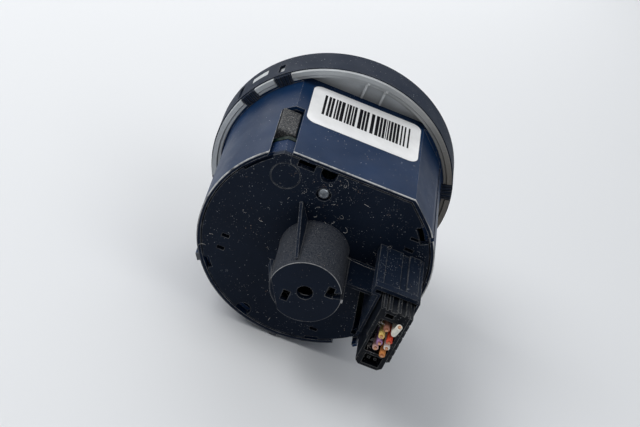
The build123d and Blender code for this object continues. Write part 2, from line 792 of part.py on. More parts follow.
# Fog lamp slider on the shaft's tail, guided by the bore of the boss
with BuildPart() as fog_slider:
    disc(slider_radius, (slider_front, slider_rear))
    collar = (tail_groove_front + moving_gap, tail_groove_rear - moving_gap)
    for half_width, y_span in (
        (tail_radius + moving_gap, (slider_front, collar[0])),
        (tail_groove_radius + moving_gap, collar),
        (tail_radius + moving_gap, (collar[1], slider_rear)),
    ):
        with BuildSketch(across(y_span[0])):
            Circle(half_width)
            with Locations((0, -slider_radius)):
                Rectangle(2 * half_width, 2 * slider_radius)
        extrude(amount=y_span[1] - y_span[0], mode=Mode.SUBTRACT)
fog_slider.part.label = "fog_slider"
export_step(fog_slider.part, "parts/fog_slider.step")

with BuildPart() as fog_contacts:
    reach = slider_front - knob_pull - moving_gap
    for side in (-1, 1):
        u_span = sorted((side * fog_contact_place, side * (fog_contact_place + fog_contact_sheet)))
        v_span = (-fog_contact_width / 2, fog_contact_width / 2)
        block(u_span, v_span, (contact_board_rear, reach))
fog_contacts.part.label = "fog_contacts"
export_step(fog_contacts.part, "parts/fog_contacts.step")

with BuildPart() as return_spring:
    spring_length = boss_rear - boss_end_wall - slider_rear
    spring_coil((0, slider_rear, 0), (0, 1, 0), return_spring_radius, spring_length, return_spring_turns)
return_spring.part.label = "return_spring"
export_step(return_spring.part, "parts/return_spring.step")

# Rear cover: plate, skirt, boss, gusset, barb, web and connector shroud
with BuildPart() as rear_cover:
    pot(cover_inset, (contact_board_rear, housing_rear))
    pot(cover_inset + cover_skirt_wall, (contact_board_rear, cover_front), Mode.SUBTRACT)
    disc(boss_radius, (housing_rear, boss_rear))
    # Gusset that leans on the boss
    with BuildSketch(along(gusset_angle)):
        with BuildLine():
            Polyline(
                (boss_bore + boss_wall / 2, cover_front),
                (gusset_reach, cover_front),
                (gusset_reach, housing_rear),
                (boss_radius + gusset_tip, boss_rear - boss_step_depth),
                (boss_bore + boss_wall / 2, boss_rear - boss_step_depth),
                close=True,
            )
        make_face()
    extrude(amount=gusset_thickness / 2, both=True)
    # Barb: a wedge with a flat step towards the plate
    with BuildSketch(along(barb_angle)):
        with BuildLine():
            Polyline(
                (boss_bore + boss_wall / 2, housing_rear + barb_base),
                (boss_radius + barb_reach, housing_rear + barb_base),
                (boss_radius, boss_rear - boss_step_depth),
                (boss_bore + boss_wall / 2, boss_rear - boss_step_depth),
                close=True,
            )
        make_face()
    extrude(amount=barb_width / 2, both=True)
    strip = (boss_strip_start, boss_strip_end)
    sector(boss_bore + boss_wall / 2, boss_radius + boss_strip_rise, strip, (housing_rear, boss_rear))
    # Connector shroud: top, right side, floor, short left side and the keyed corner
    depth = (housing_rear, mouth)
    block((shroud_left, shroud_right), (shroud_top - shroud_wall, shroud_top), depth)
    block((shroud_left, top_ridge_right), (shroud_top - shroud_wall, shroud_top + top_ridge_rise), depth)
    block((shroud_right - shroud_wall, shroud_right), (shroud_bottom, shroud_top), depth)
    block((shroud_floor_left, shroud_right), (shroud_bottom, shroud_bottom + shroud_wall), depth)
    rim_span = (mouth - collar_length, mouth)
    block((shroud_left, shroud_right), (shroud_top - shroud_wall, shroud_top + collar_rise), rim_span)
    key_bottom = shroud_top - key_depth
    block((shroud_left, shroud_left + shroud_wall), (key_bottom, shroud_top), depth)
    side_inner = shroud_side_left + shroud_wall
    block((shroud_left, side_inner), (key_bottom, key_bottom + shroud_wall), depth)
    block((shroud_side_left, side_inner), (shroud_side_bottom, key_bottom + shroud_wall), depth)
    # Web from the boss to the shroud
    web = (web_top - web_thickness, web_top)
    block((boss_radius - boss_wall / 2, side_inner), web, (housing_rear, housing_rear + web_height))
    # Groove in the shroud's top and the step along its right side
    sunk = (shroud_top - top_groove_sink, far)
    block((top_groove_left, top_groove_right), sunk, (housing_rear, mouth - collar_length), Mode.SUBTRACT)
    step = (shroud_top - right_step_sink, far)
    block((shroud_right - right_step, far), step, depth, Mode.SUBTRACT)
    # Bore of the boss, its end hole and windows, the slot along it and the step on its end
    disc(boss_bore, (cover_front, boss_rear - boss_end_wall), mode=Mode.SUBTRACT)
    disc(boss_hole_radius, (housing_rear, boss_rear), mode=Mode.SUBTRACT)
    for u, v in boss_windows:
        u_span = (u - boss_window_width / 2, u + boss_window_width / 2)
        v_span = (v - boss_window_height / 2, v + boss_window_height / 2)
        block(u_span, v_span, (boss_rear - boss_end_wall, boss_rear), Mode.SUBTRACT)
    slot = (boss_slot_start, boss_slot_end)
    sector(boss_bore - 1, shroud_left, slot, (housing_rear, boss_rear), Mode.SUBTRACT)
    with BuildSketch(across(boss_rear - boss_step_depth)):
        with Locations(polar(boss_step_place + far / 2, boss_step_angle)):
            Rectangle(far, far, rotation=boss_step_angle)
    extrude(amount=boss_step_depth, mode=Mode.SUBTRACT)
    # Holes, slots and edge notches of the plate
    plate = (cover_front, housing_rear)
    full_depth = (contact_board_rear, housing_rear)
    disc(rivet_head_radius + fit_clearance, full_depth, rivet_place, Mode.SUBTRACT)
    disc(edge_hole[2], plate, edge_hole[:2], Mode.SUBTRACT)
    block((edge_hole[0] - edge_hole[2], edge_hole[0] + edge_hole[2]), (edge_hole[1], far), plate, Mode.SUBTRACT)
    block((top_notch[0] - top_notch[2] / 2, top_notch[0] + top_notch[2] / 2), (top_notch[1], far), plate, Mode.SUBTRACT)
    disc(half_round_notch[2], plate, half_round_notch[:2], Mode.SUBTRACT)
    for u, v, width, height in cover_slots:
        block((u - width / 2, u + width / 2), (v - height / 2, v + height / 2), plate, Mode.SUBTRACT)
    for start, end, cut in edge_notches:
        sector(cover_radius - cut, far, (start, end), plate, Mode.SUBTRACT)
    with BuildSketch(across(housing_rear - mark_depth)):
        with Locations(mark_place):
            Circle(mark_radius)
            Circle(mark_radius - mark_width, mode=Mode.SUBTRACT)
    extrude(amount=mark_depth, mode=Mode.SUBTRACT)
    with BuildSketch(across(cover_front)):
        with BuildLine():
            Polyline(*connector_window, close=True)
        make_face()
    extrude(amount=cover_thickness, mode=Mode.SUBTRACT)
    # Slots for the blades
    for u in cavity_columns:
        for v in cavity_rows:
            half_u, half_v = blade_thickness / 2 + fit_clearance, blade_width / 2 + fit_clearance
            block((u - half_u, u + half_u), (v - half_v, v + half_v), full_depth, Mode.SUBTRACT)
rear_cover.part.label = "rear_cover"
export_step(rear_cover.part, "parts/rear_cover.step")

# Rivet: shank in its post, and a bevelled head in the cover
with BuildPart() as cover_rivet:
    disc(rivet_shank_radius, (rivet_end, contact_board_rear), rivet_place)
    disc(rivet_head_radius, (contact_board_rear, housing_rear - rivet_head_sink), rivet_place)
    chamfer(cover_rivet.edges().group_by(Axis.Y)[-1], length=rivet_head_edge)
cover_rivet.part.label = "cover_rivet"
export_step(cover_rivet.part, "parts/cover_rivet.step")

# Lock tongue with its foot, and the spring under it
with BuildPart() as lock_tongue:
    block((tongue_left, tongue_right), (tongue_bottom, tongue_top), (tongue_front, tongue_rear))
    chamfer(lock_tongue.edges().group_by(Axis.Z)[-1], length=tongue_edge)
    half = tongue_foot_width / 2
    foot = (tongue_middle[0] - half, tongue_middle[0] + half)
    foot_rise = (tongue_bottom, tongue_bottom + tongue_foot_height)
    block(foot, foot_rise, (tongue_rear, tongue_rear + tongue_foot_length))
    with BuildSketch(Plane.XY.offset(tongue_bottom)):
        with Locations((-tongue_middle[0], tongue_middle[1])):
            Circle(lock_spring_radius + spring_wire / 2 + moving_gap)
    extrude(amount=lock_pocket_depth, mode=Mode.SUBTRACT)
lock_tongue.part.label = "lock_tongue"
export_step(lock_tongue.part, "parts/lock_tongue.step")

with BuildPart() as lock_spring:
    seat = (-tongue_middle[0], tongue_middle[1], guide_floor)
    lock_spring_length = tongue_bottom + lock_pocket_depth - guide_floor
    spring_coil(seat, (0, 0, 1), lock_spring_radius, lock_spring_length, lock_spring_turns)
lock_spring.part.label = "lock_spring"
export_step(lock_spring.part, "parts/lock_spring.step")

# Label on the flat
with BuildPart() as label:
    with BuildSketch(Plane.XY.offset(label_flat_height)):
        with Locations((-(label_left + label_right) / 2, (label_front + label_rear) / 2)):
            RectangleRounded(label_right - label_left, label_rear - label_front, label_corner)
    extrude(amount=label_thickness)
label.part.label = "label"
export_step(label.part, "parts/label.step")

# Harness plug: body with a wire chamber, one cavity for each blade and ribs on top
with BuildPart() as plug_body:
    with BuildSketch(across(housing_rear)):
        with BuildLine():
            Polyline(
                (plug_left, plug_waist),
                (plug_left, plug_top),
                (plug_right, plug_top),
                (plug_right, plug_bottom),
                (plug_left + plug_taper, plug_bottom),
                (plug_left + plug_taper, plug_waist),
                close=True,
            )
        make_face()
    extrude(amount=plug_length)
    low_edges = plug_body.edges().filter_by(Axis.Y).group_by(Axis.Z)[0]
    chamfer(low_edges, length=plug_corner)
    for place in plug_rib_places:
        u_span = (place - plug_rib_width / 2, place + plug_rib_width / 2)
        block(u_span, (plug_top, plug_top + plug_rib_height), (housing_rear, plug_rear))
    for opening, cut in ((chamber, chamber_depth), (lower_pocket, lower_pocket_depth), (upper_cavity, upper_cavity_depth)):
        block(opening[:2], opening[2:], (plug_rear - cut, plug_rear), Mode.SUBTRACT)
    for u in cavity_columns:
        for v in cavity_rows:
            half = cavity_side / 2
            block((u - half, u + half), (v - half, v + half), (housing_rear, cavity_rear), Mode.SUBTRACT)
    disc(drain_radius, (mouth, cavity_rear), drain_place, Mode.SUBTRACT)
    for u, v in pocket_posts:
        half = pocket_post_side / 2
        post_span = (plug_rear - lower_pocket_depth, plug_rear - pocket_post_sink)
        block((u - half, u + half), (v - half, v + half), post_span)
plug_body.part.label = "plug_body"
export_step(plug_body.part, "parts/plug_body.step")

# Secondary lock strip on the plug's side, with a notched edge
with BuildPart() as plug_lock:
    lock_span = (plug_rear - lock_strip_length, plug_rear)
    block((plug_right, plug_right + lock_strip_width), (lock_strip_bottom, plug_top), lock_span)
    pitch = (plug_top - lock_strip_bottom) / (lock_teeth + 1)
    for tooth in range(lock_teeth):
        v = lock_strip_bottom + pitch * (tooth + 1)
        v_span = (v - lock_tooth_width / 2, v + lock_tooth_width / 2)
        edge = plug_right + lock_strip_width
        block((edge - lock_tooth_depth, edge), v_span, lock_span, Mode.SUBTRACT)
plug_lock.part.label = "plug_lock"
export_step(plug_lock.part, "parts/plug_lock.step")

# Socket terminals in the plug's cavities, open to the blades
with BuildPart() as plug_terminals:
    socket_side = cavity_side - 2 * running_clearance
    for u in cavity_columns:
        for v in cavity_rows:
            outer, inner = socket_side / 2, socket_side / 2 - socket_wall
            socket = (socket_front, socket_front + socket_length)
            block((u - outer, u + outer), (v - outer, v + outer), socket)
            block((u - inner, u + inner), (v - inner, v + inner), socket, Mode.SUBTRACT)
plug_terminals.part.label = "plug_terminals"
export_step(plug_terminals.part, "parts/plug_terminals.step")

# Cut wires, each from its terminal to its end behind the plug
core_paths = []
grid = [(u, v) for v in cavity_rows for u in cavity_columns]
for (name, tip), (u, v) in zip(wire_tips.items(), grid):
    with BuildPart() as wire:
        start = Vector(-u, socket_front + socket_length, v)
        bend = Vector(-u, cavity_rear + tip[3], v)
        end = Vector(-tip[0], cavity_rear + tip[2], tip[1])
        with BuildLine() as path:
            Polyline(start, bend, end)
        with BuildSketch(Plane(origin=start, z_dir=(0, 1, 0))):
            Circle(wire_radius)
        sweep(path=path.line, transition=Transition.RIGHT)
    wire.part.label = name
    export_step(wire.part, f"parts/{name}.step")
    core_paths.append((end, (end - bend).normalized()))

with BuildPart() as wire_cores:
    for end, heading in core_paths:
        with BuildSketch(Plane(origin=end, z_dir=heading)):
            Circle(core_radius)
        extrude(amount=core_show)
wire_cores.part.label = "wire_cores"
export_step(wire_cores.part, "parts/wire_cores.step")
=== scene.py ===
"""Looks, lights and camera for the rotary headlight switch. Lengths are in metres."""
import math
import random
from collections import namedtuple

import bmesh
import bpy
from mathutils import Matrix, Vector


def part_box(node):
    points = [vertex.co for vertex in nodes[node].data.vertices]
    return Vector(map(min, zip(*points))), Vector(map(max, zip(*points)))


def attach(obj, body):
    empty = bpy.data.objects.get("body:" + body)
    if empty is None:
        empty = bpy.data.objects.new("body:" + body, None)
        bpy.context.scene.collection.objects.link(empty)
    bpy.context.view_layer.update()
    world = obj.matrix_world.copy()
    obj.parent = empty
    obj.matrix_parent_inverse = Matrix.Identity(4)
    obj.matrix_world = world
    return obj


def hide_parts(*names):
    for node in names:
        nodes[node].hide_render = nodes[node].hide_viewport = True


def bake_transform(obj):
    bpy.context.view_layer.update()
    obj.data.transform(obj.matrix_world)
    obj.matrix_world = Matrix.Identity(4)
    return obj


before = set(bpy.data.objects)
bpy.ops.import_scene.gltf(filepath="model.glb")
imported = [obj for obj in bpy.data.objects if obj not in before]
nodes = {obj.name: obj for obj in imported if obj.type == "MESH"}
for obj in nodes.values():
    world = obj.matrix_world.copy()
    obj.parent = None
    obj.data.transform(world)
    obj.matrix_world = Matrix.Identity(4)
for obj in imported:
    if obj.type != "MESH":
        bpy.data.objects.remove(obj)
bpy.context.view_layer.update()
scene = bpy.context.scene

# The photograph's camera, in the row frame, with its lens and sensor in millimetres
camera_place = Vector((0.03895, 0.33030, 0.21009))
camera_right = Vector((-0.9262, -0.1270, 0.3550))
camera_up = Vector((0.3631, -0.5539, 0.7493))
camera_back = Vector((0.1015, 0.8229, 0.5591))
lens = 67.5
sensor_width = 36.0

data = bpy.data.cameras.new("camera")
data.lens = lens
data.sensor_width = sensor_width
data.clip_start = 0.01
camera = bpy.data.objects.new("camera", data)
scene.collection.objects.link(camera)
turn = Matrix((camera_right, camera_up, camera_back)).transposed().to_4x4()
camera.matrix_world = Matrix.Translation(camera_place) @ turn
scene.camera = camera

# The floor on which the switch lies: it touches the rim and the rear edge of the housing
floor_up = Vector((0.0, -0.075, 1.0)).normalized()
floor_drop = 0.0401
floor_half_width = 0.70
floor_half_length = 0.80
floor_tone = (0.80, 0.81, 0.82)

# Up in the photograph, where the switch lies rolled to one side: the lamps keep to it, the floor doesn't
lamps_up = Vector((0.3465, -0.075, 0.938)).normalized()
lamps_aim = Vector((0, 0.02, 0))

# Light that the world gives, and what the camera sees of it
world_light = (0.82, 0.86, 0.92)
world_strength = 0.36
world_seen = (0.74, 0.755, 0.775)

# Stretches of the switch that the looks pick out, each from and to.
# Along the axis (y):
wall_end = (0.0401, 0.0420)
boss_side = (0.0408, 0.0612)
boss_end = (0.06122, 0.0624)
skirt_fade = (0.0382, 0.0392)
boss_end_fade = (0.0600, 0.0612)
# Away from the axis:
wall_corner = (0.03565, 0.0400)
boss_skin = (0.0102, 0.0112)
boss_corner = (0.01048, 0.0112)
light_rim = (0.0345, 0.0400)
# Up (z):
flat_corner = (0.0293, 0.0310)
above_flat = (0.0296, 0.0400)
# Painted shade on the light rim, fading out from the flat's front end
flat_end_painted_shade = (0.0302, 0.0332)
rib_height = (0.0296, 0.0375)
# Where the painted highlight on the wall's rear rim fades towards the bottom
wall_fade = (-0.012, 0.004)
# Where the painted highlight on the boss's corner fades towards the bottom
boss_fade = (-0.005, 0.002)
dust_rise = (0.004, 0.026)
# Across (x), with the connector on the minus side:
left_rib = (0.0012, 0.0020)
right_rib = (-0.0050, -0.0042)
rim_fade = (-0.036, 0.002)
dust_side = (-0.022, -0.006)

brown_dust = (0.50, 0.34, 0.22)
grey_dust = (0.60, 0.62, 0.64)
fleck_colour = (0.34, 0.33, 0.31)
# Pale of the rubbed edges, which also stands as a painted highlight along them
rubbed_and_highlight_colour = (0.42, 0.42, 0.41)

Spot = namedtuple("Spot", "x y z radius")


def new_look(name):
    """New material: returns it with its node tree and its shader."""
    made = bpy.data.materials.new(name)
    made.use_nodes = True
    tree = made.node_tree
    return made, tree, tree.nodes["Principled BSDF"]


def surface_place(tree):
    """Where a point of the surface lies."""
    return tree.nodes.new("ShaderNodeTexCoord").outputs["Object"]


def noise(tree, place, scale, detail=3.0, roughness=0.5):
    made = tree.nodes.new("ShaderNodeTexNoise")
    made.inputs["Scale"].default_value = scale
    made.inputs["Detail"].default_value = detail
    made.inputs["Roughness"].default_value = roughness
    tree.links.new(place, made.inputs["Vector"])
    return made.outputs["Fac"]


def ramp(tree, value, reach, span=(0.0, 1.0)):
    """Value that goes through the span as the input goes through the reach."""
    made = tree.nodes.new("ShaderNodeMapRange")
    ends = ("From Min", "From Max", "To Min", "To Max")
    for socket, number in zip(ends, (*reach, *span)):
        made.inputs[socket].default_value = number
    tree.links.new(value, made.inputs["Value"])
    return made.outputs["Result"]


def patches(tree, place, scale, reach, span=(0.0, 1.0), detail=3.0, roughness=0.5):
    """Noise of which the reach is drawn out to the span."""
    return ramp(tree, noise(tree, place, scale, detail, roughness), reach, span)


def mix(tree, factor, first, second):
    """Mix of two colours: each is a colour or a socket."""
    made = tree.nodes.new("ShaderNodeMix")
    made.data_type = "RGBA"
    tree.links.new(factor, made.inputs["Factor"])
    for socket, value in ((made.inputs[6], first), (made.inputs[7], second)):
        if isinstance(value, tuple):
            socket.default_value = (*value, 1.0)
        else:
            tree.links.new(value, socket)
    return made.outputs[2]


def calc(tree, kind, first, second):
    """Result of one step of arithmetic: each value is a number or a socket."""
    made = tree.nodes.new("ShaderNodeMath")
    made.operation = kind
    for socket, value in zip(made.inputs, (first, second)):
        if isinstance(value, float):
            socket.default_value = value
        else:
            tree.links.new(value, socket)
    return made.outputs[0]


def times(tree, product, *factors):
    """Product of all the values."""
    for factor in factors:
        product = calc(tree, "MULTIPLY", product, factor)
    return product


def band(tree, value, stretch):
    """One where the value lies within the stretch, with soft ends."""
    soft = 0.00008
    low, high = stretch
    above = ramp(tree, value, (low - soft, low + soft))
    below = ramp(tree, value, (high - soft, high + soft), (1.0, 0.0))
    return times(tree, above, below)


def find_spot(tree, place):
    """X, Y and Z in the row frame, and the distance from the switch axis."""
    split = tree.nodes.new("ShaderNodeSeparateXYZ")
    tree.links.new(place, split.inputs["Vector"])
    x, y, z = (split.outputs[k] for k in "XYZ")
    square = calc(tree, "ADD", times(tree, x, x), times(tree, z, z))
    return Spot(x, y, z, calc(tree, "SQRT", square, 0.0))


def specks(tree, place, scale, size, share):
    """Small round dust specks of uneven size and strength, in a share of the cells of a cell pattern."""
    smallest = 0.35 * size
    cells = tree.nodes.new("ShaderNodeTexVoronoi")
    cells.inputs["Scale"].default_value = scale
    tree.links.new(place, cells.inputs["Vector"])
    parts = tree.nodes.new("ShaderNodeSeparateColor")
    tree.links.new(cells.outputs["Color"], parts.inputs["Color"])
    reach = ramp(tree, parts.outputs["Green"], (0.0, 1.0), (smallest, size))
    near = calc(tree, "LESS_THAN", cells.outputs["Distance"], reach)
    few = calc(tree, "LESS_THAN", parts.outputs["Red"], share)
    mostly_weak = times(tree, parts.outputs["Blue"], parts.outputs["Blue"])
    strength = ramp(tree, mostly_weak, (0.0, 1.0), (0.06, 0.62))
    return times(tree, near, few, strength)


def dusted(tree, place, paint, amount, dust_colour, gathered):
    """The paint with fine and coarse specks on it, brown ones and grey ones."""
    gather = patches(
        tree, place, scale=110.0, reach=(0.42, 0.66), span=(0.06, 1.0), detail=5.0, roughness=0.7
    )
    if gathered:
        gather = times(tree, gather, gathered(tree, place))
    fine = specks(tree, place, scale=2600.0, size=0.33, share=times(tree, gather, 0.60 * amount))
    coarse = specks(tree, place, scale=1170.0, size=0.16, share=times(tree, gather, 0.10 * amount))
    warm = patches(tree, place, scale=420.0, reach=(0.36, 0.48))
    speck_colour = mix(tree, warm, dust_colour, grey_dust)
    return mix(tree, calc(tree, "MAXIMUM", fine, coarse), paint, speck_colour)


def sharp_edges(tree):
    """One on a sharp edge and in a sharp corner, nothing on the faces between."""
    edge_width = 0.00028
    flat_and_sharp = (0.975, 0.88)
    rounded = tree.nodes.new("ShaderNodeBevel")
    rounded.samples = 6
    rounded.inputs["Radius"].default_value = edge_width
    surface = tree.nodes.new("ShaderNodeNewGeometry")
    along = tree.nodes.new("ShaderNodeVectorMath")
    along.operation = "DOT_PRODUCT"
    tree.links.new(rounded.outputs[0], along.inputs[0])
    tree.links.new(surface.outputs["True Normal"], along.inputs[1])
    return ramp(tree, along.outputs["Value"], flat_and_sharp)


def rubbed_and_highlit_edges(tree, place, strength):
    """Sharp edges rubbed pale in patches, with a painted highlight along them."""
    span = (0.15 * strength, strength)
    patchy = patches(tree, place, scale=300.0, reach=(0.38, 0.60), span=span, detail=6.0, roughness=0.7)
    return times(tree, sharp_edges(tree), patchy)


def housing_marks_and_highlight(tree, place):
    """The outer corner of the wall's rear end, all round: rubbed pale, with a painted highlight that grows
    towards the top.
    """
    spot = find_spot(tree, place)
    outer = calc(tree, "MAXIMUM", band(tree, spot.radius, wall_corner), band(tree, spot.z, flat_corner))
    patchy = patches(tree, place, scale=230.0, reach=(0.30, 0.52), detail=6.0, roughness=0.7)
    # Painted highlight: the pale rim grows stronger towards the top, where the light falls
    upper = ramp(tree, spot.z, wall_fade, (0.12, 1.0))
    return times(tree, outer, band(tree, spot.y, wall_end), patchy, upper)


def housing_end_painted_shade(tree, place):
    """The rear end of the wall, with painted shade that makes it darker than its side."""
    return band(tree, find_spot(tree, place).y, wall_end)


def cover_marks_and_highlight(tree, place):
    """The corner round the boss's end, rubbed pale with a painted highlight that grows towards the top,
    and the boss's grained side.
    """
    spot = find_spot(tree, place)
    corner = times(tree, band(tree, spot.radius, boss_corner), band(tree, spot.y, boss_end))
    patchy = patches(tree, place, scale=260.0, reach=(0.30, 0.50), detail=6.0, roughness=0.7)
    # Painted highlight: the pale corner grows stronger towards the top, where the light falls
    upper = ramp(tree, spot.z, boss_fade, (0.1, 1.0))
    side = times(tree, band(tree, spot.radius, boss_skin), band(tree, spot.y, boss_side))
    grainy = patches(
        tree, place, scale=2300.0, reach=(0.34, 0.70), span=(0.03, 0.20), detail=2.0, roughness=0.8
    )
    return calc(tree, "MAXIMUM", times(tree, corner, patchy, upper), times(tree, side, grainy))


def cover_skirt_painted_light(tree, place):
    """The skirt that reaches into the housing, painted lighter and bluer: painted light."""
    return ramp(tree, find_spot(tree, place).y, skirt_fade, (1.0, 0.0))


def cover_gathered(tree, place):
    """Dust gathers towards the flat's edge and the connector's side, and less on the boss's end."""
    spot = find_spot(tree, place)
    upward = ramp(tree, spot.z, dust_rise, (0.8, 1.7))
    sideways = ramp(tree, spot.x, dust_side, (0.5, 0.0))
    before_end = ramp(tree, spot.y, boss_end_fade, (1.0, 0.25))
    return times(tree, calc(tree, "ADD", upward, sideways), before_end)


def rim_dirt_and_painted_shade(tree, place):
    """Brown dirt on the light rim, more of it on the connector's side, and painted shade on the recessed
    rim along the flat's front end.
    """
    spot = find_spot(tree, place)
    side = times(tree, ramp(tree, spot.x, rim_fade, (1.0, 0.12)), band(tree, spot.radius, light_rim))
    # Painted shade: darker towards the flat's front end, where the flat's edge shades the recessed rim
    corner = times(tree, ramp(tree, spot.z, flat_end_painted_shade, (0.55, 0.0)), band(tree, spot.z, above_flat))
    return calc(tree, "MAXIMUM", side, corner)


def carrier_ribs(tree, place):
    """The two small ribs beside the flat, painted paler than the floor round them."""
    spot = find_spot(tree, place)
    ribs = calc(tree, "MAXIMUM", band(tree, spot.x, left_rib), band(tree, spot.x, right_rib))
    return times(tree, ribs, band(tree, spot.z, rib_height))


def plastic(
    name, colour, rough, grain=0.0, grain_scale=2500.0, dust=0.0, dust_colour=brown_dust, gathered=None,
    specular=0.3, zone=None, zone_colour=None, marks_and_painted_light=None, marks_and_painted_light_colour=None, edge=0.0, speckle=0.0,
):
    """Moulded plastic: uneven tone and gloss, fine grain, gathered dust specks, and edges rubbed pale with
    a painted highlight along them.

    The functions zone and marks_and_painted_light say where zone_colour and marks_and_painted_light_colour
    show, painted light and painted shade among them, and gathered where more dust lies.
    """
    made, tree, shader = new_look(name)
    place = surface_place(tree)
    dark = tuple(c * 0.82 for c in colour)
    light = tuple(min(1.0, c * 1.2 + 0.001) for c in colour)
    tone = patches(tree, place, scale=45.0, reach=(0.3, 0.7), detail=5.0, roughness=0.6)
    paint = mix(tree, tone, dark, light)
    if zone:
        paint = mix(tree, zone(tree, place), paint, zone_colour)
    if speckle:
        fleck = patches(
            tree, place, scale=2300.0, reach=(0.52, 0.66), span=(0.0, speckle), detail=2.0, roughness=0.8
        )
        paint = mix(tree, fleck, paint, fleck_colour)
    # Marks: real rubbing, dirt and grain, and in some looks painted highlight and painted shade as well
    if marks_and_painted_light:
        paint = mix(tree, marks_and_painted_light(tree, place), paint, marks_and_painted_light_colour)
    # Edges rubbed pale, with a painted highlight along them
    if edge:
        paint = mix(tree, rubbed_and_highlit_edges(tree, place, edge), paint, rubbed_and_highlight_colour)
    if dust:
        paint = dusted(tree, place, paint, dust, dust_colour, gathered)
    gloss_span = (rough - 0.05, rough + 0.06)
    gloss = patches(tree, place, scale=160.0, reach=(0.3, 0.7), span=gloss_span, detail=4.0)
    tree.links.new(paint, shader.inputs["Base Color"])
    tree.links.new(gloss, shader.inputs["Roughness"])
    shader.inputs["Specular IOR Level"].default_value = specular
    if grain:
        bump = tree.nodes.new("ShaderNodeBump")
        bump.inputs["Strength"].default_value = grain
        bump.inputs["Distance"].default_value = 0.0001
        tree.links.new(noise(tree, place, grain_scale, detail=2.0), bump.inputs["Height"])
        tree.links.new(bump.outputs["Normal"], shader.inputs["Normal"])
    return made


def metal(name, colour, rough, stain=0.3):
    """Bare metal, stained darker in patches."""
    made, tree, shader = new_look(name)
    tone = noise(tree, surface_place(tree), 400.0, detail=4.0)
    dark = tuple(c * (1 - stain) for c in colour)
    gloss_span = (rough - 0.05, rough + 0.12)
    paint = mix(tree, ramp(tree, tone, (0.35, 0.7)), dark, colour)
    tree.links.new(paint, shader.inputs["Base Color"])
    tree.links.new(ramp(tree, tone, (0.3, 0.7), gloss_span), shader.inputs["Roughness"])
    shader.inputs["Metallic"].default_value = 1.0
    return made


def clear(name):
    """Clear moulded plastic, a little uneven in gloss."""
    made, tree, shader = new_look(name)
    gloss = patches(tree, surface_place(tree), scale=300.0, reach=(0.3, 0.7), span=(0.08, 0.2))
    tree.links.new(gloss, shader.inputs["Roughness"])
    shader.inputs["Base Color"].default_value = (0.92, 0.94, 0.95, 1.0)
    shader.inputs["Transmission Weight"].default_value = 0.85
    shader.inputs["IOR"].default_value = 1.49
    return made


